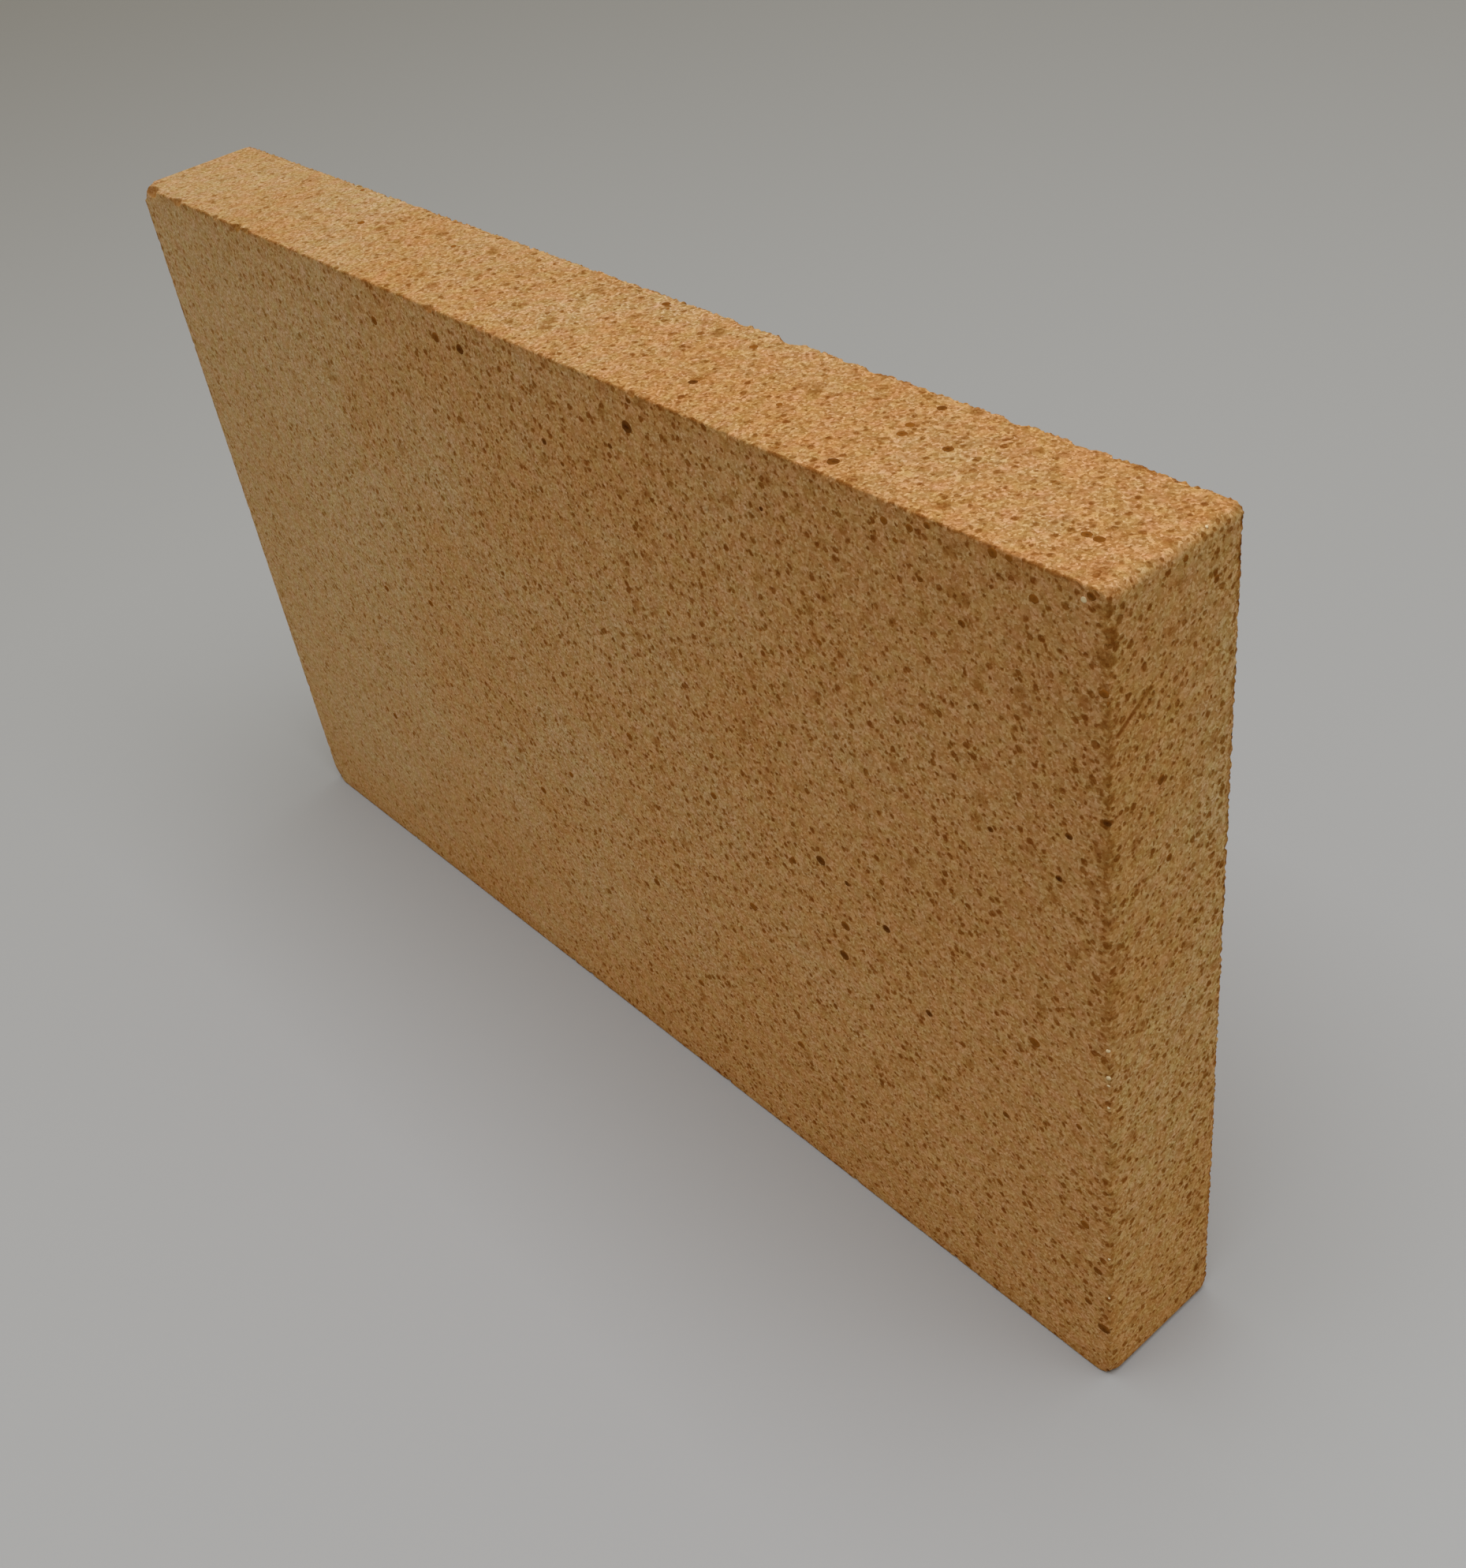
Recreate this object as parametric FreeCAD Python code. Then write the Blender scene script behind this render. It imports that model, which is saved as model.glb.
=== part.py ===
import FreeCAD, Part
import os

# A refractory firebrick: one slab of fireclay and crushed grog, dry-pressed through its thickness and fired.
# It stands on one of its long narrow sides, with the origin in the middle of that side.
# +X runs along the length, +Y through the thickness and +Z up the height. All sizes are in millimetres.

# Overall size of the fired brick
brick_length = 249.0
brick_height = 152.4
brick_thickness = 25.4

# Rounding that the corners of the steel mould leave on the four arrises that run through the thickness
mould_corner_radius = 1.5

# Finer rounding all round the rim of each large face, where a punch met the mould's walls
face_rim_radius = 0.5


def pressed_slab():
    """The slab as it leaves the mould: a block whose upright and lying corners follow the mould's rounded ones."""
    block = Part.makeBox(
        brick_length,
        brick_thickness,
        brick_height,
        FreeCAD.Vector(-brick_length / 2, -brick_thickness / 2, 0),
    )
    mould_corners = [edge for edge in block.Edges if edge.BoundBox.YLength > brick_thickness / 2]
    return block.makeFillet(mould_corner_radius, mould_corners)


def large_faces(slab):
    """The two faces that the punches pressed, on either side of the middle of the thickness."""
    return [face for face in slab.Faces if abs(face.CenterOfMass.y) > brick_thickness / 4]


def firebrick():
    """The slab with the rims of its two large faces eased, as one closed solid."""
    slab = pressed_slab()
    rims = [edge for face in large_faces(slab) for edge in face.OuterWire.Edges]
    return slab.makeFillet(face_rim_radius, rims)


os.makedirs("parts", exist_ok=True)
firebrick().exportStep("parts/firebrick.step")
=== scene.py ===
import math
import bpy
from mathutils import Matrix, Vector


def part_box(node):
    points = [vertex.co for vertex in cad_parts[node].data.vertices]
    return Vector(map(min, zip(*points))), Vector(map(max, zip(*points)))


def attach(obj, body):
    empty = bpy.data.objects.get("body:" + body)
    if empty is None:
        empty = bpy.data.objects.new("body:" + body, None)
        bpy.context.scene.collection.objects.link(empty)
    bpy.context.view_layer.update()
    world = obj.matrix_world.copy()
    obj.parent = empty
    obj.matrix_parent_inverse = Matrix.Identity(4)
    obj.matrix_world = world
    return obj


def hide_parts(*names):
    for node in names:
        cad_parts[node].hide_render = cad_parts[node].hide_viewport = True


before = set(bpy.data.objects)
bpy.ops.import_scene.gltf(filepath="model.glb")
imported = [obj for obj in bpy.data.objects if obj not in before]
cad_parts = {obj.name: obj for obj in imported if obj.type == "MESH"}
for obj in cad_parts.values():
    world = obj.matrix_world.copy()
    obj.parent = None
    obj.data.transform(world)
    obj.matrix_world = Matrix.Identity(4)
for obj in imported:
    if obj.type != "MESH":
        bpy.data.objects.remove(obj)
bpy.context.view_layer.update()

# The brick's body: one slab of fireclay bond and crushed grog, pressed nearly dry in a steel mould and fired.
# The mould's corners round four arrises, and the rims of the two large faces stay much finer. Handling has
# plucked grains out of the rims, knocked chips from the top's two long ones and worn the corners down.

MM = 0.001
box_low, box_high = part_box("firebrick")
brick_size = box_high - box_low
brick_middle = (box_low + box_high) / 2
left, front, foot = [round(place / MM, 3) for place in box_low]
right, back, top = [round(place / MM, 3) for place in box_high]
mould_corner_radius = 1.5 * MM
face_rim_radius = 0.3 * MM
grid_step = 0.3 * MM
body_triangles = 192000

# Relief, all of it cut inwards from the pressed faces
warp_width, warp_depth = 32.0 * MM, 0.05 * MM
sand_width, sand_depth = 1.2 * MM, 0.025 * MM
rim_reach = 1.5 * MM
front_grit, front_plucks = 0.15, 0.6
grit_width, grit_depth = 0.8 * MM, 0.34 * MM
grit_from, grit_full = 0.35, 0.65
pluck_spacing, pluck_radius, grains_kept = 1.7 * MM, 0.9 * MM, 0.4
end_rim_reach, end_rim_ease = 2.2 * MM, 0.22 * MM
pore_spacing, pore_radius, pore_steepness, pores_closed = 7.0 * MM, 0.6 * MM, 0.6, 0.2

# Worn corners: place, reach and depth in millimetres
knocks = [
    ((left, front, top), 3.0, 0.4),
    ((left, front, foot), 4.0, 0.8),
    ((right, back, foot), 2.2, 0.45),
    ((right, front, foot), 3.0, 0.6),
]

# A scratch across the right end: small knocks in a row
scratch_start, scratch_end = Vector((right, -11.0, 131.5)), Vector((right, -4.9, 135.2))
scratch_steps, scratch_reach, scratch_depth = 20, 0.5, 0.04
knocks += [
    (scratch_start.lerp(scratch_end, step / scratch_steps), scratch_reach, scratch_depth)
    for step in range(scratch_steps + 1)
]

# Chips scooped out of one corner and the top's two long arrises: place along, length and depth in millimetres
corner_chip = (left, 7.6, 2.9)
front_chips = [
    (-119.4, 6.0, 1.4), (-107.8, 4.2, 0.95), (-91.9, 2.4, 0.7), (-83.1, 3.0, 0.95),
    (-79.6, 2.2, 0.75), (-17.1, 3.2, 0.85), (36.9, 2.0, 0.75),
]
back_chips = [
    (33.0, 3.4, 0.85), (44.0, 6.2, 1.15), (56.2, 3.0, 0.75),
    (61.3, 4.0, 0.85), (88.3, 4.4, 0.85), (98.8, 3.0, 0.8),
]
chip_ragged_width, chip_ragged_depth = 1.1 * MM, 0.3 * MM
broken_from, broken_full = 0.03 * MM, 0.25 * MM

MATH = "ShaderNodeMath"
VECTOR = "ShaderNodeVectorMath"
RANGE = "ShaderNodeMapRange"
NOISE = "ShaderNodeTexNoise"
VORONOI = "ShaderNodeTexVoronoi"
DICE = "ShaderNodeTexWhiteNoise"
MIX = "ShaderNodeMix"
SPLIT = "ShaderNodeSeparateXYZ"
JOIN = "ShaderNodeCombineXYZ"


def add(tree, kind, inputs=None, **settings):
    """Adds a node and returns its outputs. Inputs are values or links, by socket name or number."""
    node = tree.nodes.new(kind)
    for name, value in settings.items():
        setattr(node, name, value)
    for key, value in (inputs or {}).items():
        if isinstance(value, bpy.types.NodeSocket):
            tree.links.new(value, node.inputs[key])
        else:
            node.inputs[key].default_value = value
    return node.outputs


def linear(hex_colour):
    """An sRGB hex colour as the linear values that a shader takes."""
    channels = [int(hex_colour[i:i + 2], 16) / 255 for i in (1, 3, 5)]
    return [c / 12.92 if c <= 0.04045 else ((c + 0.055) / 1.055) ** 2.4 for c in channels] + [1.0]


def geometry_tree(name, sockets):
    """A Geometry Nodes tree with these named inputs, and one geometry output."""
    tree = bpy.data.node_groups.new(name, "GeometryNodeTree")
    for socket_name, kind in sockets.items():
        tree.interface.new_socket(socket_name, in_out="INPUT", socket_type="NodeSocket" + kind)
    tree.interface.new_socket("Geometry", in_out="OUTPUT", socket_type="NodeSocketGeometry")
    return tree, add(tree, "NodeGroupInput")


def grown_piece(name, mesh, tree, values, thinned=1.0):
    """Runs a tree on a mesh, thins the result, and keeps it as a plain mesh piece at the origin."""
    piece = bpy.data.objects.new(name, mesh)
    bpy.context.scene.collection.objects.link(piece)
    nodes = piece.modifiers.new("nodes", "NODES")
    nodes.node_group = tree
    for socket in tree.interface.items_tree:
        if socket.name in values:
            nodes[socket.identifier] = values[socket.name]
    if thinned < 1.0:
        piece.modifiers.new("thinning", "DECIMATE").ratio = thinned
    grown = piece.evaluated_get(bpy.context.evaluated_depsgraph_get())
    plain = bpy.data.meshes.new_from_object(grown)
    piece.modifiers.clear()
    piece.data = plain
    return piece


# Rounded slab, worked out from a plain grid: how far each point lies in from the sides gives its arris
slab, given = geometry_tree("pressed_slab", {
    "Size": "Vector", "Corner Radius": "Float", "Rim Radius": "Float",
    "Rows Along": "Int", "Rows Through": "Int", "Rows Up": "Int",
    "Grit Depth": "Float", "Pluck Radius": "Float", "Clay": "Material",
})
grid = add(slab, "GeometryNodeMeshCube", {
    "Size": given["Size"], "Vertices X": given["Rows Along"],
    "Vertices Y": given["Rows Through"], "Vertices Z": given["Rows Up"],
})["Mesh"]
half = add(slab, VECTOR, {0: given["Size"], "Scale": 0.5}, operation="SCALE")[0]
point = add(slab, "GeometryNodeInputPosition")[0]
outward = add(slab, VECTOR, {0: point}, operation="ABSOLUTE")[0]
side = add(slab, VECTOR, {0: point}, operation="SIGN")[0]
inset = add(slab, JOIN, {"X": given["Corner Radius"], "Z": given["Corner Radius"]})[0]
flat_half = add(slab, VECTOR, {0: half, 1: inset}, operation="SUBTRACT")[0]
past = add(slab, VECTOR, {0: outward, 1: flat_half}, operation="SUBTRACT")[0]
corner = add(slab, VECTOR, {0: past, 1: (0, 0, 0)}, operation="MAXIMUM")[0]
corner_parts = add(slab, SPLIT, {0: corner})
corner_reach = add(slab, MATH, {0: corner_parts["X"], 1: corner_parts["Z"]}, operation="MAXIMUM")[0]
depth = add(slab, VECTOR, {0: half, 1: outward}, operation="SUBTRACT")[0]
depth_x, depth_y, depth_z = add(slab, SPLIT, {0: depth})
from_outline = add(slab, MATH, {0: depth_x, 1: depth_z}, operation="MINIMUM")[0]
rim_in = add(slab, MATH, {0: given["Rim Radius"], 1: from_outline}, operation="SUBTRACT")[0]
rim_in = add(slab, MATH, {0: rim_in, 1: 0.0}, operation="MAXIMUM")[0]
rim_down = add(slab, MATH, {0: given["Rim Radius"], 1: depth_y}, operation="SUBTRACT")[0]
rim_down = add(slab, MATH, {0: rim_down, 1: 0.0}, operation="MAXIMUM")[0]
rim_vector = add(slab, JOIN, {"X": rim_in, "Y": rim_down})[0]
rim_length = add(slab, VECTOR, {0: rim_vector}, operation="LENGTH")["Value"]
rim_length = add(slab, MATH, {0: rim_length, 1: given["Rim Radius"]}, operation="MAXIMUM")[0]
rim_share = add(slab, MATH, {0: given["Rim Radius"], 1: rim_length}, operation="DIVIDE")[0]
pull = add(slab, MATH, {0: 1.0, 1: rim_share}, operation="SUBTRACT")[0]
pull_in = add(slab, MATH, {0: rim_in, 1: pull}, operation="MULTIPLY")[0]
pull_down = add(slab, MATH, {0: rim_down, 1: pull}, operation="MULTIPLY")[0]
corner_length = add(slab, VECTOR, {0: corner}, operation="LENGTH")["Value"]
corner_new = add(slab, MATH, {0: corner_reach, 1: pull_in}, operation="SUBTRACT")[0]
corner_scale = add(slab, MATH, {0: corner_new, 1: corner_length}, operation="DIVIDE")[0]
corner_round = add(slab, VECTOR, {0: corner, "Scale": corner_scale}, operation="SCALE")[0]
core = add(slab, VECTOR, {0: outward, 1: flat_half}, operation="MINIMUM")[0]
rounded = add(slab, VECTOR, {0: core, 1: corner_round}, operation="ADD")[0]
lowered = add(slab, JOIN, {"Y": pull_down})[0]
rounded = add(slab, VECTOR, {0: rounded, 1: lowered}, operation="SUBTRACT")[0]
rounded = add(slab, VECTOR, {0: rounded, 1: side}, operation="MULTIPLY")[0]
sound_slab = add(slab, "GeometryNodeSetPosition", {"Geometry": grid, "Position": rounded})[0]
half_height = add(slab, SPLIT, {0: half})["Z"]
lift = add(slab, JOIN, {"Z": half_height})[0]
sound_slab = add(slab, "GeometryNodeTransform", {"Geometry": sound_slab, "Translation": lift})[0]

# Wear of the slab: at a large face's rim, the depths in from the outline and through the thickness are
# both small
here = add(slab, "GeometryNodeInputPosition")[0]
centred = add(slab, VECTOR, {0: here, 1: lift}, operation="SUBTRACT")[0]
outward = add(slab, VECTOR, {0: centred}, operation="ABSOLUTE")[0]
depth = add(slab, VECTOR, {0: half, 1: outward}, operation="SUBTRACT")[0]
depth_x, depth_y, depth_z = add(slab, SPLIT, {0: depth})
from_outline = add(slab, MATH, {0: depth_x, 1: depth_z}, operation="MINIMUM")[0]
from_rim = add(slab, MATH, {0: from_outline, 1: depth_y}, operation="ADD")[0]
rim_wear = add(slab, RANGE, {
    "Value": from_rim, "From Max": rim_reach, "To Min": 1.0, "To Max": 0.0,
}, interpolation_type="SMOOTHSTEP")[0]
through = add(slab, SPLIT, {0: centred})["Y"]
grit_share, pluck_share = [add(slab, RANGE, {
    "Value": through, "From Min": box_low.y, "From Max": box_high.y, "To Min": front_share, "To Max": 1.0,
})[0] for front_share in (front_grit, front_plucks)]
grit = add(slab, NOISE, {"Vector": here, "Scale": 1 / grit_width, "Detail": 1.0})[0]
grit = add(slab, RANGE, {
    "Value": grit, "From Min": grit_from, "From Max": grit_full, "To Max": given["Grit Depth"],
})[0]
plucked = add(slab, VORONOI, {"Vector": here, "Scale": 1 / pluck_spacing})
pluck_draw = add(slab, DICE, {"Vector": plucked["Color"]})["Value"]
pluck_size = add(slab, RANGE, {
    "Value": pluck_draw, "From Min": grains_kept, "To Max": given["Pluck Radius"],
})[0]
pluck_from = add(slab, MATH, {0: plucked["Distance"], 1: pluck_spacing}, operation="MULTIPLY")[0]
pluck = add(slab, MATH, {0: pluck_size, 1: pluck_from}, operation="SUBTRACT", use_clamp=True)[0]
grit = add(slab, MATH, {0: grit, 1: grit_share}, operation="MULTIPLY")[0]
crumbled = add(slab, MATH, {0: pluck, 1: pluck_share, 2: grit}, operation="MULTIPLY_ADD")[0]
from_end_rim = add(slab, MATH, {0: depth_x, 1: depth_y}, operation="ADD")[0]
cut = add(slab, RANGE, {
    "Value": from_end_rim, "From Max": end_rim_reach, "To Min": end_rim_ease, "To Max": 0.0,
}, interpolation_type="SMOOTHSTEP")[0]
cut = add(slab, MATH, {0: crumbled, 1: rim_wear, 2: cut}, operation="MULTIPLY_ADD")[0]
warp = add(slab, NOISE, {"Vector": here, "Scale": 1 / warp_width, "Detail": 1.0})[0]
cut = add(slab, MATH, {0: warp, 1: warp_depth, 2: cut}, operation="MULTIPLY_ADD")[0]
sand = add(slab, NOISE, {"Vector": here, "Scale": 1 / sand_width, "Detail": 2.0})[0]
cut = add(slab, MATH, {0: sand, 1: sand_depth, 2: cut}, operation="MULTIPLY_ADD")[0]
pores = add(slab, VORONOI, {"Vector": here, "Scale": 1 / pore_spacing})
pore_draw = add(slab, DICE, {"Vector": pores["Color"]})["Value"]
pore_size = add(slab, RANGE, {"Value": pore_draw, "From Min": pores_closed, "To Max": pore_radius})[0]
pore_from = add(slab, MATH, {0: pores["Distance"], 1: pore_spacing}, operation="MULTIPLY")[0]
pore = add(slab, MATH, {0: pore_size, 1: pore_from}, operation="SUBTRACT", use_clamp=True)[0]
cut = add(slab, MATH, {0: pore, 1: pore_steepness, 2: cut}, operation="MULTIPLY_ADD")[0]
for knock_place, knock_reach, knock_depth in knocks:
    from_knock = add(slab, VECTOR, {0: here, 1: Vector(knock_place) * MM}, operation="DISTANCE")["Value"]
    knock = add(slab, RANGE, {
        "Value": from_knock, "From Max": knock_reach * MM, "To Min": knock_depth * MM, "To Max": 0.0,
    }, interpolation_type="SMOOTHSTEP")[0]
    cut = add(slab, MATH, {0: cut, 1: knock}, operation="ADD")[0]
inwards = add(slab, MATH, {0: cut, 1: -1.0}, operation="MULTIPLY")[0]
facing = add(slab, "GeometryNodeInputNormal")[0]
offset = add(slab, VECTOR, {0: facing, "Scale": inwards}, operation="SCALE")[0]
worn_slab = add(slab, "GeometryNodeSetPosition", {"Geometry": sound_slab, "Offset": offset})[0]

# Chips: whatever lies inside a ball centred outside the arris is pushed back onto the ball
chips = [(*corner_chip, front, Vector((-1, -1, 1)))]
chips += [(*chip, front, Vector((0, -1, 1))) for chip in front_chips]
chips += [(*chip, back, Vector((0, 1, 1))) for chip in back_chips]
unchipped = add(slab, "GeometryNodeInputPosition")[0]
ragged = add(slab, NOISE, {"Vector": unchipped, "Scale": 1 / chip_ragged_width, "Detail": 1.0})[0]
chipped = unchipped
for chip_along, chip_length, chip_depth, chip_face, chip_out in chips:
    chip_place = Vector((chip_along, chip_face, top)) * MM
    ball_radius = (chip_length ** 2 / 4 + chip_depth ** 2) / (2 * chip_depth) * MM
    ball_middle = chip_place + chip_out.normalized() * (ball_radius - chip_depth * MM)
    ball_reach = add(slab, MATH, {
        0: ragged, 1: chip_ragged_depth, 2: ball_radius - 0.5 * chip_ragged_depth,
    }, operation="MULTIPLY_ADD")[0]
    from_middle = add(slab, VECTOR, {0: chipped, 1: ball_middle}, operation="SUBTRACT")[0]
    ball_gap = add(slab, VECTOR, {0: from_middle}, operation="LENGTH")["Value"]
    push = add(slab, MATH, {0: ball_reach, 1: ball_gap}, operation="DIVIDE")[0]
    push = add(slab, MATH, {0: push, 1: 1.0}, operation="MAXIMUM")[0]
    chipped = add(slab, VECTOR, {0: from_middle, 1: push, 2: ball_middle}, operation="MULTIPLY_ADD")[0]
pushed = add(slab, VECTOR, {0: unchipped, 1: chipped}, operation="DISTANCE")["Value"]
broken = add(slab, RANGE, {"Value": pushed, "From Min": broken_from, "From Max": broken_full})[0]
worn_slab = add(slab, "GeometryNodeStoreNamedAttribute", {
    "Geometry": worn_slab, "Name": "broken", "Value": broken,
})[0]
worn_slab = add(slab, "GeometryNodeSetPosition", {"Geometry": worn_slab, "Position": chipped})[0]
worn_slab = add(slab, "GeometryNodeSetShadeSmooth", {"Geometry": worn_slab})[0]
worn_slab = add(slab, "GeometryNodeRealizeInstances", {"Geometry": worn_slab})[0]
worn_slab = add(slab, "GeometryNodeSetMaterial", {"Geometry": worn_slab, "Material": given["Clay"]})[0]
add(slab, "NodeGroupOutput", {"Geometry": worn_slab})

# Fired fireclay, dry-pressed: a dead matt buff ground stained by iron. The deeper the stain, the darker and
# redder the clay, so that one depth gives the lighter and darker sand grains, rust-brown specks and browned
# rims, and also the painted shade under the long arrises and at the foot. Pink and olive blotches lie over
# it, and a slow drift from pale to brown along the length. The finest grains are drawn coarser than real
# ones, so that they show. Pattern sizes are in millimetres.
ground_colour, stain_colour = "#CA9F6A", "#BD9A67"
sand_grain, fine_grain, fine_share = 0.42, 0.22, 0.5
grain_depth, poor_grain = 1.25, 0.7
ragged_width, ragged_reach = 0.9, 0.8
cloud_width, cloud_depth = 24.0, 0.12
cloud_shift, cloud_low, cloud_high = 60.0, 0.3, 0.7
middle_level = 0.5
blotch_width, blotch_low, blotch_high = 2.6, 0.35, 0.65
pale_end, brown_end, brownest = -105.0, 85.0, 0.92
poor_end, rich_end, poorest = -125.0, 20.0, 0.55
crowd_reach, crowd_most, crowd_across = 6.0, 1.25, 0.7
end_face_reach, end_front_shift, end_back_shift, end_depth = 1.5, -75.0, -150.0, -0.03
low_edge_reach, low_edge_shift, low_edge_depth = 50.0, 90.0, 0.08
top_face_from, top_face_full = top - 0.8, top - 0.2
top_left_depth, top_right_depth, top_drift = 0.0, -0.05, 0.55
top_grain, top_relief = 1.15, 1.5
grain_relief, relief_strength, middle_relief = 0.10 * MM, 0.8, 1.1
dent_width, dent_height = 0.9, 1.5
drift_tints = "#F6FCFF", "#F7E9D2"
pink_tints = "#F9FFFD", "#FFF9FD"
yellow_tints = "#FFFFFF", "#FFFFED"
end_tints = "#FFFFFF", "#FFFFF3"
top_tints = "#FFFFFF", "#FFFBF5"

# Specks: three sizes of rust-brown ones, and one paler than the ground
specks = [
    {"spacing": 1.0, "radius": 0.33, "edge": 0.09, "depth": 0.92, "on_top": 0.65},
    {"spacing": 1.8, "radius": 0.56, "edge": 0.12, "depth": 1.05, "on_top": 0.82},
    {"spacing": 4.4, "radius": 1.10, "edge": 0.40, "depth": 0.45, "on_top": 1.40},
    {"spacing": 7.0, "radius": 0.70, "edge": 0.35, "depth": -0.30, "on_top": 1.00},
]
smallest_speck, faintest_speck = 0.3, 0.4

# Browned rims and scratch, and the painted shade under the long arrises and at the foot, as settings of Map
# Range: how wide the patches grow, how soft their edge is and how deep they are
rim_patch_width, chip_stain = 1.8, 0.65
end_patches = {"From Min": 0.38, "From Max": 0.65, "To Max": 2.4}
end_patch_edge = {"From Min": -0.3, "From Max": 1.1}
end_patch_depth = {"From Min": 90.0, "From Max": 145.0, "To Min": 0.3, "To Max": 0.95}
end_rubbed_bare = {"From Max": 0.9, "To Min": 0.6, "To Max": 1.0}
long_patches = {"From Min": 0.42, "From Max": 0.65, "To Max": 0.9}
long_patch_edge = {"From Min": -0.1, "From Max": 0.3, "To Max": 0.6}
# Painted shade: a band just under the top and bottom arrises of the large faces, eased off at the very rim so
# that the rim reads as a painted highlight
painted_shade_fade = {"From Min": 0.3, "From Max": 2.6, "To Min": 0.22, "To Max": 0.0}
painted_shade_rim_ease = {"From Max": 0.5, "To Min": 0.2, "To Max": 1.0}
# At the foot: painted contact shadow, mixed with real dirt
foot_shadow_and_dirt_fade = {"From Max": 4.5, "To Min": 0.2, "To Max": 0.0}
scratch_fade = {"From Min": 0.2, "From Max": 0.55, "To Min": 0.9, "To Max": 0.0}
long_gap_across, face_gap_across = 1.6, 6.0

clay = bpy.data.materials.new("fired_fireclay_dry_pressed")
clay.use_nodes = True
look = clay.node_tree
look.nodes.clear()
object_place = add(look, "ShaderNodeTexCoord")["Object"]
millimetres = add(look, VECTOR, {0: object_place, "Scale": 1 / MM}, operation="SCALE")[0]
jitter = add(look, NOISE, {"Vector": millimetres, "Scale": 1 / ragged_width, "Detail": 2.0})["Color"]
jitter = add(look, VECTOR, {0: jitter, 1: (-0.5, -0.5, -0.5)}, operation="ADD")[0]
jitter = add(look, VECTOR, {0: jitter, "Scale": ragged_reach}, operation="SCALE")[0]
ragged = add(look, VECTOR, {0: millimetres, 1: jitter}, operation="ADD")[0]

# How far a point lies from the rims of the large faces: at the ends, and along the top and bottom
centred = add(look, VECTOR, {0: object_place, 1: brick_middle}, operation="SUBTRACT")[0]
centred = add(look, VECTOR, {0: centred}, operation="ABSOLUTE")[0]
inside = add(look, VECTOR, {0: brick_size / 2, 1: centred}, operation="SUBTRACT")[0]
inside = add(look, VECTOR, {0: inside, "Scale": 1 / MM}, operation="SCALE")[0]
inside_x, inside_y, inside_z = add(look, SPLIT, {0: inside})
end_gap = add(look, MATH, {0: inside_x, 1: inside_y}, operation="ADD")[0]
long_gap = add(look, MATH, {0: inside_y, 1: long_gap_across, 2: inside_z}, operation="MULTIPLY_ADD")[0]

# Specks: ragged balls of rustier clay, cut through by the surface, the larger ones darker. They lie thicker
# by the ends' rims, and fainter towards the pale end.
crowd_gap = add(look, MATH, {0: inside_y, 1: crowd_across, 2: inside_x}, operation="MULTIPLY_ADD")[0]
crowding = add(look, RANGE, {
    "Value": crowd_gap, "From Max": crowd_reach, "To Min": crowd_most, "To Max": 1.0,
})[0]
along, across, up = add(look, SPLIT, {0: millimetres})
richness = add(look, RANGE, {
    "Value": along, "From Min": poor_end, "From Max": rich_end, "To Min": poorest, "To Max": 1.0,
})[0]
top_face = add(look, RANGE, {"Value": up, "From Min": top_face_from, "From Max": top_face_full})[0]
end_face = add(look, RANGE, {
    "Value": inside_x, "From Max": end_face_reach, "To Min": 1.0, "To Max": 0.0,
})[0]
stain_and_shade = 0.0
for speck in specks:
    radius, speck_depth = speck["radius"], speck["depth"]
    cells = add(look, VORONOI, {"Vector": ragged, "Scale": 1 / speck["spacing"]})
    draw = add(look, DICE, {"Vector": cells["Color"]})["Value"]
    reach = add(look, RANGE, {"Value": draw, "To Min": smallest_speck * radius, "To Max": radius})[0]
    reach = add(look, MATH, {0: reach, 1: crowding}, operation="MULTIPLY")[0]
    away = add(look, MATH, {0: cells["Distance"], 1: speck["spacing"]}, operation="MULTIPLY")[0]
    within = add(look, MATH, {0: reach, 1: away}, operation="SUBTRACT")[0]
    full = add(look, RANGE, {
        "Value": draw, "To Min": faintest_speck * speck_depth, "To Max": speck_depth,
    })[0]
    full = add(look, MATH, {0: full, 1: richness}, operation="MULTIPLY")[0]
    topped = add(look, RANGE, {"Value": top_face, "To Min": 1.0, "To Max": speck["on_top"]})[0]
    full = add(look, MATH, {0: full, 1: topped}, operation="MULTIPLY")[0]
    mask = add(look, RANGE, {
        "Value": within, "From Min": -speck["edge"], "From Max": speck["edge"], "To Max": full,
    })[0]
    joining = "MAXIMUM" if speck_depth > 0 else "ADD"
    stain_and_shade = add(look, MATH, {0: stain_and_shade, 1: mask}, operation=joining)[0]
specked = stain_and_shade

# Browned rims, in patches: wide at the ends, most of all near the top, and thin and broken along the top and
# bottom. Painted shade lies in a band just under the top and bottom arrises of the large faces, eased off at
# the very rim as a painted highlight; at the foot, painted contact shadow is mixed with real dirt. Broken
# clay in the chips is stained too.
rim_patch = add(look, NOISE, {"Vector": millimetres, "Scale": 1 / rim_patch_width, "Detail": 3.0})[0]
end_limit = add(look, RANGE, {"Value": rim_patch, **end_patches})[0]
end_stain = add(look, MATH, {0: end_limit, 1: end_gap}, operation="SUBTRACT")[0]
end_full = add(look, RANGE, {"Value": up, **end_patch_depth})[0]
end_stain = add(look, RANGE, {"Value": end_stain, "To Max": end_full, **end_patch_edge})[0]
rubbed_bare = add(look, RANGE, {"Value": end_gap, **end_rubbed_bare})[0]
end_stain = add(look, MATH, {0: end_stain, 1: rubbed_bare}, operation="MULTIPLY")[0]
long_limit = add(look, RANGE, {"Value": rim_patch, **long_patches})[0]
long_stain = add(look, MATH, {0: long_limit, 1: long_gap}, operation="SUBTRACT")[0]
long_stain = add(look, RANGE, {"Value": long_stain, **long_patch_edge})[0]
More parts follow.
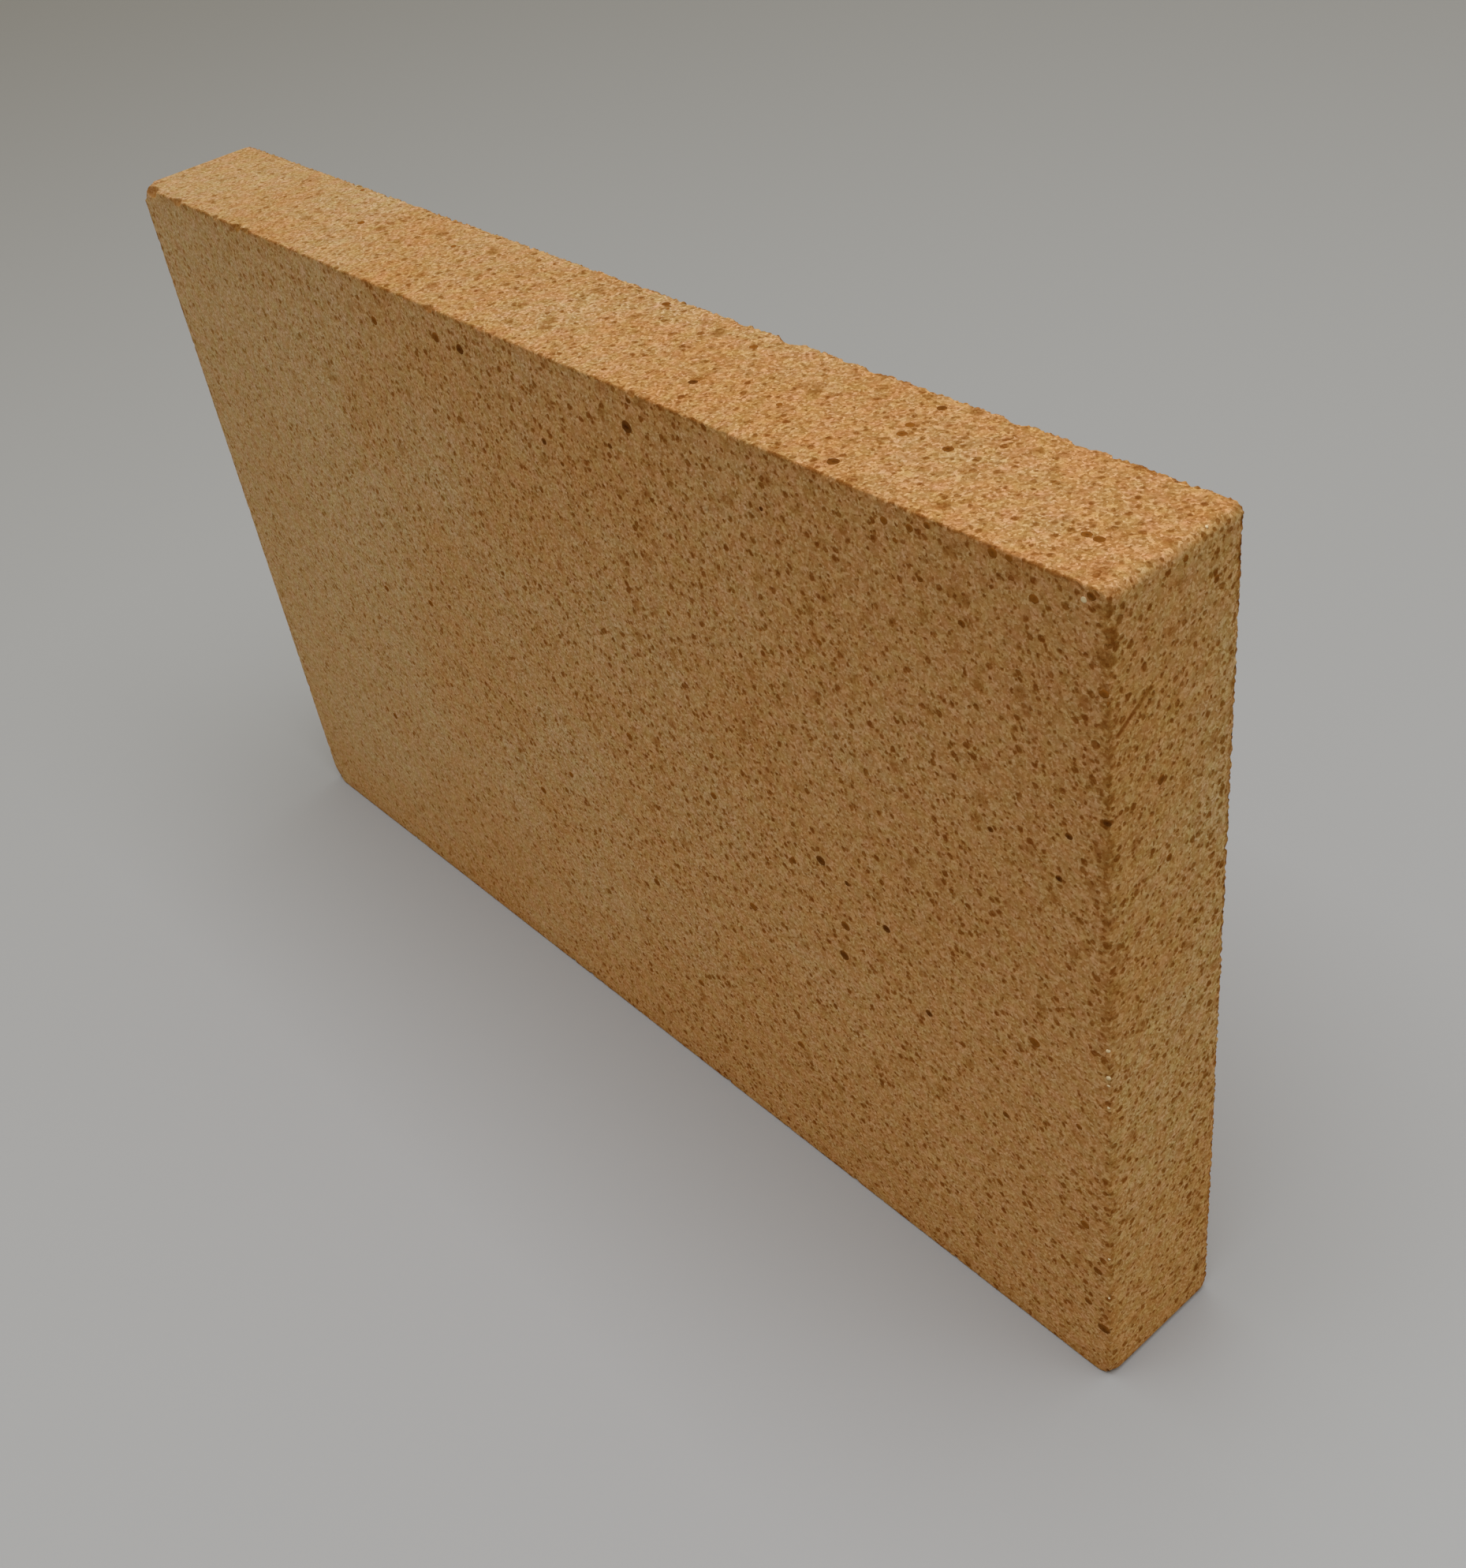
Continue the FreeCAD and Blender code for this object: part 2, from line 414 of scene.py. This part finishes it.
stain_and_shade = add(look, MATH, {0: stain_and_shade, 1: end_stain}, operation="MAXIMUM")[0]
stain_and_shade = add(look, MATH, {0: stain_and_shade, 1: long_stain}, operation="MAXIMUM")[0]
# Painted shade under the top and bottom arrises, lightened again at the rim as a painted highlight
face_gap = add(look, MATH, {0: inside_y, 1: face_gap_across, 2: inside_z}, operation="MULTIPLY_ADD")[0]
painted_shade_and_foot_dirt = add(look, RANGE, {"Value": face_gap, **painted_shade_fade})[0]
painted_shade_eased = add(look, RANGE, {"Value": face_gap, **painted_shade_rim_ease})[0]
painted_shade_and_foot_dirt = add(look, MATH, {0: painted_shade_and_foot_dirt, 1: painted_shade_eased}, operation="MULTIPLY")[0]
# Painted contact shadow at the foot, together with real dirt
foot_shadow_and_dirt = add(look, RANGE, {"Value": up, **foot_shadow_and_dirt_fade})[0]
painted_shade_and_foot_dirt = add(look, MATH, {0: painted_shade_and_foot_dirt, 1: foot_shadow_and_dirt}, operation="MAXIMUM")[0]
stain_and_shade = add(look, MATH, {0: stain_and_shade, 1: painted_shade_and_foot_dirt}, operation="ADD")[0]
broken = add(look, "ShaderNodeAttribute", attribute_name="broken")["Fac"]
stain_and_shade = add(look, MATH, {0: broken, 1: chip_stain, 2: stain_and_shade}, operation="MULTIPLY_ADD")[0]

# The scratch across the right end, rubbed brown
scratch_run = scratch_end - scratch_start
from_start = add(look, VECTOR, {0: millimetres, 1: scratch_start}, operation="SUBTRACT")[0]
scratch_share = add(look, VECTOR, {
    0: from_start, 1: scratch_run / scratch_run.length_squared,
}, operation="DOT_PRODUCT")["Value"]
scratch_share = add(look, MATH, {0: scratch_share, 1: 0.0}, operation="ADD", use_clamp=True)[0]
on_scratch = add(look, VECTOR, {0: scratch_run, "Scale": scratch_share}, operation="SCALE")[0]
from_scratch = add(look, VECTOR, {0: from_start, 1: on_scratch}, operation="DISTANCE")["Value"]
rubbed = add(look, RANGE, {"Value": from_scratch, **scratch_fade})[0]
stain_and_shade = add(look, MATH, {0: stain_and_shade, 1: rubbed}, operation="MAXIMUM")[0]

# Sand grains, clouds, the browner low edge, and the paler top and ends
grains = add(look, VORONOI, {"Vector": ragged, "Scale": 1 / sand_grain})
grain_tone = add(look, DICE, {"Vector": grains["Color"]})["Value"]
fine_tone = add(look, NOISE, {"Vector": millimetres, "Scale": 1 / fine_grain, "Detail": 2.0})[0]
tone = add(look, MIX, {0: fine_share, 2: grain_tone, 3: fine_tone})[0]
clouds = add(look, NOISE, {"Vector": millimetres, "Scale": 1 / cloud_width, "Detail": 3.0})[0]
low_edge = add(look, RANGE, {"Value": up, "From Max": low_edge_reach, "To Min": 1.0, "To Max": 0.0})[0]
top_depth = add(look, RANGE, {
    "Value": along, "From Min": left, "From Max": right, "To Min": top_left_depth, "To Max": top_right_depth,
})[0]
grain_full = add(look, RANGE, {
    "Value": richness, "From Min": poorest, "To Min": -poor_grain * grain_depth, "To Max": -grain_depth,
})[0]
grain_topped = add(look, RANGE, {"Value": top_face, "To Min": 1.0, "To Max": top_grain})[0]
grain_full = add(look, MATH, {0: grain_full, 1: grain_topped}, operation="MULTIPLY")[0]
for share, full, level in (
    (tone, grain_full, middle_level), (clouds, cloud_depth, middle_level),
    (low_edge, low_edge_depth, 0.0), (top_face, top_depth, 0.0), (end_face, end_depth, 0.0),
):
    part = add(look, MATH, {0: share, 1: level}, operation="SUBTRACT")[0]
    stain_and_shade = add(look, MATH, {0: part, 1: full, 2: stain_and_shade}, operation="MULTIPLY_ADD")[0]
absorbed = add(look, VECTOR, {0: linear(stain_colour)[:3], 1: stain_and_shade}, operation="POWER")[0]
coloured = add(look, MIX, {
    0: 1.0, 6: linear(ground_colour), 7: absorbed,
}, data_type="RGBA", blend_type="MULTIPLY")[2]

# Drift along the length with clouds in it, and small blotches over everything
shift = add(look, RANGE, {
    "Value": clouds, "From Min": cloud_low, "From Max": cloud_high,
    "To Min": -cloud_shift, "To Max": cloud_shift,
})[0]
end_shift = add(look, RANGE, {
    "Value": across, "From Min": front, "From Max": back, "To Min": end_front_shift, "To Max": end_back_shift,
})[0]
end_shift = add(look, MATH, {0: end_shift, 1: end_face}, operation="MULTIPLY")[0]
low_edge = add(look, MATH, {0: low_edge, 1: low_edge_shift}, operation="MULTIPLY")[0]
top_share = add(look, RANGE, {"Value": top_face, "To Min": 1.0, "To Max": top_drift})[0]
along = add(look, MATH, {0: along, 1: top_share}, operation="MULTIPLY")[0]
for moved in (shift, end_shift, low_edge):
    along = add(look, MATH, {0: along, 1: moved}, operation="ADD")[0]
drift = add(look, RANGE, {
    "Value": along, "From Min": pale_end, "From Max": brown_end, "To Max": brownest,
}, interpolation_type="SMOOTHSTEP")[0]
top_brown = add(look, MATH, {0: top_face, 1: drift}, operation="MULTIPLY")[0]
blotches = add(look, NOISE, {"Vector": millimetres, "Scale": 1 / blotch_width, "Detail": 3.0})["Color"]
blotch_parts = add(look, SPLIT, {0: blotches})
pinkness, yellowness = [add(look, RANGE, {
    "Value": blotch_parts[axis], "From Min": blotch_low, "From Max": blotch_high,
})[0] for axis in ("X", "Y")]
for share, (one_end, other_end) in (
    (drift, drift_tints), (pinkness, pink_tints), (yellowness, yellow_tints),
    (end_face, end_tints), (top_brown, top_tints),
):
    tint = add(look, MIX, {0: share, 6: linear(one_end), 7: linear(other_end)}, data_type="RGBA")[2]
    coloured = add(look, MIX, {0: 1.0, 6: coloured, 7: tint}, data_type="RGBA", blend_type="MULTIPLY")[2]

# Fine relief: grains stand up, specks lie lower, with dents between them
dents = add(look, NOISE, {"Vector": millimetres, "Scale": 1 / dent_width, "Detail": 2.0})[0]
relief = add(look, MATH, {0: tone, 1: specked}, operation="SUBTRACT")[0]
relief = add(look, MATH, {0: dents, 1: dent_height, 2: relief}, operation="MULTIPLY_ADD")[0]
relief = add(look, MATH, {0: relief, 1: middle_relief}, operation="SUBTRACT")[0]
relief_topped = add(look, RANGE, {"Value": top_face, "To Min": 1.0, "To Max": top_relief})[0]
relief = add(look, MATH, {0: relief, 1: relief_topped}, operation="MULTIPLY")[0]
bumpy = add(look, "ShaderNodeBump", {
    "Strength": relief_strength, "Distance": grain_relief, "Height": relief,
})[0]
surface = add(look, "ShaderNodeBsdfPrincipled", {
    "Base Color": coloured, "Roughness": 1.0, "IOR": 1.5, "Diffuse Roughness": 0.8,
    "Specular IOR Level": 0.02, "Normal": bumpy,
})[0]
add(look, "ShaderNodeOutputMaterial", {"Surface": surface})

rows = [round(side_length / grid_step) + 1 for side_length in brick_size]
grid_triangles = 4 * (rows[0] * rows[1] + rows[1] * rows[2] + rows[2] * rows[0])
body = grown_piece("brick_body", bpy.data.meshes.new("brick_body"), slab, {
    "Size": brick_size, "Corner Radius": mould_corner_radius, "Rim Radius": face_rim_radius,
    "Rows Along": rows[0], "Rows Through": rows[1], "Rows Up": rows[2],
    "Grit Depth": grit_depth, "Pluck Radius": pluck_radius, "Clay": clay,
}, body_triangles / grid_triangles)
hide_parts("firebrick")
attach(body, "root")

# Iron spots: grains of iron ore in the clay that melted in the kiln and set as dark brown beads, flush with
# the faces. The larger ones are where the photograph shows them, and smaller ones are scattered over every
# face.

# Spots read from the photograph in millimetres: along from the left end, then down from the top on the front,
# back from the front edge on the top, and back from the front and down from the top on the right end. Then
# come the radius, and how far the spot is from black iron (0) to mere rust (1).
front_spots = [
    (158.9, 6.2, 1.0, 0.0), (134.9, 16.0, 0.58, 0.05), (139.0, 18.7, 0.45, 0.35), (114.9, 5.5, 0.89, 0.05),
    (107.8, 5.3, 0.9, 0.4), (87.4, 7.4, 0.8, 0.45), (191.0, 72.4, 0.89, 0.05), (205.0, 78.5, 0.73, 0.0),
    (193.9, 91.2, 0.92, 0.1), (213.0, 91.6, 0.65, 0.05), (235.1, 82.5, 0.85, 0.5), (142.1, 71.3, 0.75, 0.55),
    (178.4, 123.3, 0.75, 0.55), (149.6, 126.8, 0.75, 0.6), (46.3, 111.6, 0.75, 0.5), (79.2, 68.7, 0.7, 0.5),
    (61.1, 72.3, 0.7, 0.5), (106.2, 101.9, 0.8, 0.5), (141.2, 105.9, 0.8, 0.4), (153.5, 11.0, 0.46, 0.2),
    (188.1, 9.9, 0.37, 0.0), (228.5, 45.6, 0.5, 0.15), (242.4, 39.2, 0.56, 0.1), (240.6, 47.5, 0.53, 0.0),
    (164.6, 73.0, 0.7, 0.5), (196.8, 73.9, 0.52, 0.1), (183.9, 76.4, 0.65, 0.45), (170.7, 94.4, 0.8, 0.6),
    (118.6, 91.7, 0.65, 0.7), (228.5, 103.3, 0.59, 0.3), (226.2, 121.3, 0.58, 0.6), (247.6, 139.9, 1.0, 0.2),
    (246.5, 1.2, 0.57, 0.25), (248.2, 14.2, 0.6, 0.5), (160.5, 1.5, 0.5, 0.35), (220.5, 1.1, 0.49, 0.45),
    (231.4, 1.0, 0.7, 0.5), (234.0, 0.8, 0.5, 0.65), (217.4, 2.6, 0.6, 0.55), (212.8, 3.1, 0.6, 0.6),
    (218.6, 9.6, 0.47, 0.3), (237.8, 5.0, 0.65, 0.6), (225.5, 13.5, 0.54, 0.3), (195.1, 84.0, 0.86, 0.35),
    (246.5, 125.8, 0.75, 0.35), (244.5, 135.5, 0.68, 0.4), (243.2, 94.6, 0.52, 0.5),
    (244.1, 116.5, 0.75, 0.55), (248.6, 33.8, 0.54, 0.0),
]
top_spots = [
    (200.6, 3.2, 0.84, 0.15), (210.6, 14.3, 0.72, 0.3), (202.7, 13.8, 0.69, 0.5), (238.6, 8.6, 0.65, 0.4),
    (240.5, 8.6, 0.68, 0.4), (141.7, 22.9, 0.7, 0.35), (166.6, 7.6, 0.65, 0.05), (63.1, 14.5, 0.7, 0.7),
    (165.4, 20.4, 0.63, 0.6), (202.0, 22.1, 0.66, 0.25), (201.8, 16.2, 0.65, 0.7),
]
end_spots = [
    (10.1, 32.8, 0.66, 0.35), (12.1, 47.1, 0.57, 0.45), (19.9, 8.0, 0.49, 0.4), (13.9, 2.1, 0.45, 0.65),
]
scattered_per_square_metre = 2000.0
scattered_smallest, scattered_largest, scattered_rust = 0.25 * MM, 0.55 * MM, 0.4
large_ones_rare = 2.5
spot_growth = 1.2
spot_flatness, spot_narrowest = 0.16, 0.7
spot_margin = Vector((0.01, 0.01, 0.01)) * MM
spot_ragged_width, spot_ragged_reach = 0.5 * MM, 0.22 * MM
spot_seed = 5

spots, given = geometry_tree("iron_spots", {
    "Read Places": "Geometry", "Brick": "Object", "Scatter": "Float", "Smallest": "Float", "Largest": "Float",
    "Flatness": "Float", "Lowest": "Vector", "Highest": "Vector", "Seed": "Int", "Iron": "Material",
})
brick_surface = add(spots, "GeometryNodeObjectInfo", {"Object": given["Brick"]})["Geometry"]
strewn = add(spots, "GeometryNodeDistributePointsOnFaces", {
    "Mesh": brick_surface, "Density": given["Scatter"], "Seed": given["Seed"],
})["Points"]
size_draw = add(spots, "FunctionNodeRandomValue", {"Seed": given["Seed"]})[1]
size_draw = add(spots, MATH, {0: size_draw, 1: large_ones_rare}, operation="POWER")[0]
strewn_size = add(spots, RANGE, {
    "Value": size_draw, "To Min": given["Smallest"], "To Max": given["Largest"],
})[0]
strewn = add(spots, "GeometryNodeStoreNamedAttribute", {
    "Geometry": strewn, "Name": "reach", "Value": strewn_size,
})[0]
strewn_rust = add(spots, "FunctionNodeRandomValue", {
    2: scattered_rust, 3: 1.0, "ID": 1, "Seed": given["Seed"],
})[1]
strewn = add(spots, "GeometryNodeStoreNamedAttribute", {
    "Geometry": strewn, "Name": "rust", "Value": strewn_rust,
})[0]
read = add(spots, "GeometryNodeMeshToPoints", {"Mesh": given["Read Places"]})[0]
all_places = add(spots, "GeometryNodeJoinGeometry", {0: strewn})[0]
spots.links.new(read, all_places.node.inputs[0])
spot_place = add(spots, "GeometryNodeInputPosition")[0]
spot_normal = add(spots, "GeometryNodeInputNormal")[0]
nearest = add(spots, "GeometryNodeProximity", {0: brick_surface, "Sample Position": spot_place})["Position"]
outwards = add(spots, "GeometryNodeSampleNearestSurface", {
    "Mesh": brick_surface, "Value": spot_normal, "Sample Position": spot_place,
}, data_type="FLOAT_VECTOR")["Value"]
upright = add(spots, "FunctionNodeAlignRotationToVector", {"Vector": outwards}, axis="Z")[0]
spin_draw = add(spots, "FunctionNodeRandomValue", {3: 2 * math.pi, "Seed": given["Seed"]})[1]
spin = add(spots, JOIN, {"Z": spin_draw})[0]
spin = add(spots, "FunctionNodeEulerToRotation", {0: spin})[0]
turned = add(spots, "FunctionNodeRotateRotation", {
    "Rotation": upright, "Rotate By": spin,
}, rotation_space="LOCAL")[0]
reach = add(spots, "GeometryNodeInputNamedAttribute", {"Name": "reach"})["Attribute"]
stretch = add(spots, "FunctionNodeRandomValue", {2: spot_narrowest, 3: 1.0, "Seed": given["Seed"]})[1]
narrow = add(spots, MATH, {0: reach, 1: stretch}, operation="MULTIPLY")[0]
thin = add(spots, MATH, {0: reach, 1: given["Flatness"]}, operation="MULTIPLY")[0]
spot_size = add(spots, JOIN, {"X": reach, "Y": narrow, "Z": thin})[0]
all_places = add(spots, "GeometryNodeSetPosition", {"Geometry": all_places, "Position": nearest})[0]
bead = add(spots, "GeometryNodeMeshIcoSphere", {"Radius": 1.0, "Subdivisions": 2})["Mesh"]
bead_edge = add(spots, VECTOR, {0: spot_place, 1: (1, 1, 0)}, operation="MULTIPLY")[0]
bead_edge = add(spots, VECTOR, {0: bead_edge}, operation="LENGTH")["Value"]
bead = add(spots, "GeometryNodeStoreNamedAttribute", {
    "Geometry": bead, "Name": "edge", "Value": bead_edge,
})[0]
beads = add(spots, "GeometryNodeInstanceOnPoints", {
    "Points": all_places, "Instance": bead, "Rotation": turned, "Scale": spot_size,
})[0]
beads = add(spots, "GeometryNodeRealizeInstances", {"Geometry": beads})[0]
bead_place = add(spots, "GeometryNodeInputPosition")[0]
bead_jitter = add(spots, NOISE, {
    "Vector": bead_place, "Scale": 1 / spot_ragged_width, "Detail": 1.0,
})["Color"]
bead_jitter = add(spots, VECTOR, {0: bead_jitter, 1: (0.5, 0.5, 0.5)}, operation="SUBTRACT")[0]
bead_jitter = add(spots, VECTOR, {0: bead_jitter, "Scale": spot_ragged_reach}, operation="SCALE")[0]
bead_place = add(spots, VECTOR, {0: bead_place, 1: bead_jitter}, operation="ADD")[0]
bead_place = add(spots, VECTOR, {0: bead_place, 1: given["Lowest"]}, operation="MAXIMUM")[0]
bead_place = add(spots, VECTOR, {0: bead_place, 1: given["Highest"]}, operation="MINIMUM")[0]
beads = add(spots, "GeometryNodeSetPosition", {"Geometry": beads, "Position": bead_place})[0]
beads = add(spots, "GeometryNodeSetShadeSmooth", {"Geometry": beads})[0]
beads = add(spots, "GeometryNodeSetMaterial", {"Geometry": beads, "Material": given["Iron"]})[0]
add(spots, "NodeGroupOutput", {"Geometry": beads})

# Melted iron ore, set as a crust: dark red-brown, blacker in the middle and rustier at the edge, and as matt
# as the clay round it. The crust's width is in millimetres.
black_iron, brown_rust = "#340C00", "#94591A"
crust_width, crust_low, crust_high, crust_rust = 0.6, 0.3, 0.7, 0.3
crust_relief, crust_strength = 0.04 * MM, 0.6
edge_rust = 0.4

iron = bpy.data.materials.new("iron_ore_melted_crust")
iron.use_nodes = True
look = iron.node_tree
look.nodes.clear()
object_place = add(look, "ShaderNodeTexCoord")["Object"]
millimetres = add(look, VECTOR, {0: object_place, "Scale": 1 / MM}, operation="SCALE")[0]
crust = add(look, NOISE, {"Vector": millimetres, "Scale": 1 / crust_width, "Detail": 2.0})[0]
crust = add(look, RANGE, {
    "Value": crust, "From Min": crust_low, "From Max": crust_high, "To Max": crust_rust,
})[0]
edge = add(look, "ShaderNodeAttribute", attribute_name="edge")["Fac"]
rust = add(look, "ShaderNodeAttribute", attribute_name="rust")["Fac"]
browned = add(look, MATH, {0: edge, 1: edge_rust, 2: crust}, operation="MULTIPLY_ADD")[0]
browned = add(look, MATH, {0: browned, 1: rust}, operation="ADD")[0]
iron_colour = add(look, MIX, {
    0: browned, 6: linear(black_iron), 7: linear(brown_rust),
}, data_type="RGBA")[2]
bumpy = add(look, "ShaderNodeBump", {
    "Strength": crust_strength, "Distance": crust_relief, "Height": crust,
})[0]
surface = add(look, "ShaderNodeBsdfPrincipled", {
    "Base Color": iron_colour, "Roughness": 1.0, "IOR": 1.6, "Specular IOR Level": 0.02, "Normal": bumpy,
})[0]
add(look, "ShaderNodeOutputMaterial", {"Surface": surface})

brick_length, brick_height = brick_size.x / MM, box_high.z / MM
read_places = [Vector((along, 0, brick_height - down)) for along, down, *_ in front_spots]
read_places += [Vector((along, inset, brick_height)) for along, inset, *_ in top_spots]
read_places += [Vector((brick_length, inset, brick_height - down)) for inset, down, *_ in end_spots]
all_spots = front_spots + top_spots + end_spots
read_radii = [radius * spot_growth * MM for *_, radius, rusted in all_spots]
read_rust = [rusted for *_, rusted in all_spots]
front_left = Vector((box_low.x, box_low.y, 0))
spot_mesh = bpy.data.meshes.new("iron_spots")
spot_mesh.from_pydata([place * MM + front_left for place in read_places], [], [])
spot_mesh.attributes.new("reach", "FLOAT", "POINT").data.foreach_set("value", read_radii)
spot_mesh.attributes.new("rust", "FLOAT", "POINT").data.foreach_set("value", read_rust)
iron_spots = grown_piece("iron_spots", spot_mesh, spots, {
    "Brick": body, "Scatter": scattered_per_square_metre, "Smallest": scattered_smallest,
    "Largest": scattered_largest, "Flatness": spot_flatness, "Lowest": box_low + spot_margin,
    "Highest": box_high - spot_margin, "Seed": spot_seed, "Iron": iron,
})
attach(iron_spots, "root")

# Pale grains: bits of white-burning grog, harder than the clay round them, that wear has left standing along
# the right end's rims. They are held in the clay as the iron spots are.
grain_places = [(right - 0.4, front, up) for up in (77.5, 72.1, 70.5, 65.9, 31.2, 21.3)]
grain_places += [(right - 3.6, front, top - 2.1), (right - 0.5, 5.8, top)]
grain_radii = [0.34, 0.40, 0.28, 0.26, 0.28, 0.22, 0.48, 0.27]
grain_flatness = 0.4

# White-burning grog, worn bare: cream, with paler facets and a faint sheen
cream, pale_cream = "#DABD88", "#EEDBAE"
facet_width = 0.3 * MM
grog = bpy.data.materials.new("pale_grog_worn_bare")
grog.use_nodes = True
look = grog.node_tree
look.nodes.clear()
object_place = add(look, "ShaderNodeTexCoord")["Object"]
facets = add(look, NOISE, {"Vector": object_place, "Scale": 1 / facet_width})[0]
grog_colour = add(look, MIX, {0: facets, 6: linear(cream), 7: linear(pale_cream)}, data_type="RGBA")[2]
surface = add(look, "ShaderNodeBsdfPrincipled", {
    "Base Color": grog_colour, "Roughness": 0.8, "Specular IOR Level": 0.2,
})[0]
add(look, "ShaderNodeOutputMaterial", {"Surface": surface})

grain_mesh = bpy.data.meshes.new("pale_grains")
grain_mesh.from_pydata([Vector(place) * MM for place in grain_places], [], [])
grain_reach = [radius * MM for radius in grain_radii]
grain_mesh.attributes.new("reach", "FLOAT", "POINT").data.foreach_set("value", grain_reach)
pale_grains = grown_piece("pale_grains", grain_mesh, spots, {
    "Brick": body, "Scatter": 0.0, "Flatness": grain_flatness, "Lowest": box_low + spot_margin,
    "Highest": box_high - spot_margin, "Seed": spot_seed, "Iron": grog,
})
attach(pale_grains, "root")

# The floor: wide, plain and level, painted a matt pale grey. It is no part of the brick, but takes its soft
# shadow and throws light back on its sides.
floor_reach = 4.0
floor_colour = "#B5B5AC"
floor_mesh = bpy.data.meshes.new("pale_floor")
floor_corners = [
    (-floor_reach, -floor_reach, 0), (floor_reach, -floor_reach, 0),
    (floor_reach, floor_reach, 0), (-floor_reach, floor_reach, 0),
]
floor_mesh.from_pydata(floor_corners, [], [(0, 1, 2, 3)])
floor = bpy.data.objects.new("pale_floor", floor_mesh)
bpy.context.scene.collection.objects.link(floor)
paint = bpy.data.materials.new("pale_matt_floor_paint")
paint.use_nodes = True
paint.node_tree.nodes.clear()
paint_surface = add(paint.node_tree, "ShaderNodeBsdfPrincipled", {
    "Base Color": linear(floor_colour), "Roughness": 0.7, "Specular IOR Level": 0.2,
})[0]
add(paint.node_tree, "ShaderNodeOutputMaterial", {"Surface": paint_surface})
floor_mesh.materials.append(paint)

# Soft studio light: a wide, slightly cool lamp hung overhead, which lights the top most, and an even,
# slightly warm surround, which fills the two upright faces.
lamp_width, lamp_watts, lamp_colour = 1.1, 14.0, "#E2E8FF"
lamp_place = Vector((0.29, -0.15, 1.25))
surround_colour, surround_strength = "#FFF4E4", 0.37
lamp_data = bpy.data.lights.new("overhead_softbox", "AREA")
lamp_data.shape = "SQUARE"
lamp_data.size = lamp_width
lamp_data.energy = lamp_watts
lamp_data.color = linear(lamp_colour)[:3]
lamp = bpy.data.objects.new("overhead_softbox", lamp_data)
lamp.location = lamp_place
bpy.context.scene.collection.objects.link(lamp)
world = bpy.data.worlds.new("even_surround")
world.use_nodes = True
world.node_tree.nodes.clear()
surround = add(world.node_tree, "ShaderNodeBackground", {
    "Color": linear(surround_colour), "Strength": surround_strength,
})[0]
add(world.node_tree, "ShaderNodeOutputWorld", {"Surface": surround})
bpy.context.scene.world = world

# The camera: close to the brick's right end, above it and rolled a little, as the photograph was taken.
# Place, aim, roll and lens were fitted to the edges of the brick in the photograph.
camera_place = Vector((0.23667, -0.14688, 0.26552))
camera_aim = Vector((0.04627, -0.0127, 0.08512))
camera_roll = math.radians(-9.44)
camera_sensor, camera_lens = 36.0, 41.48
camera_nearest = 10.0 * MM
camera_data = bpy.data.cameras.new("photograph")
camera_data.sensor_width = camera_sensor
camera_data.lens = camera_lens
camera_data.clip_start = camera_nearest
camera = bpy.data.objects.new("photograph", camera_data)
camera.rotation_mode = "QUATERNION"
camera.location = camera_place
turn = (camera_aim - camera_place).to_track_quat("-Z", "Y")
camera.rotation_quaternion = turn @ Matrix.Rotation(camera_roll, 4, "Z").to_quaternion()
bpy.context.scene.collection.objects.link(camera)
bpy.context.scene.camera = camera
bpy.context.scene.view_settings.view_transform = "Standard"
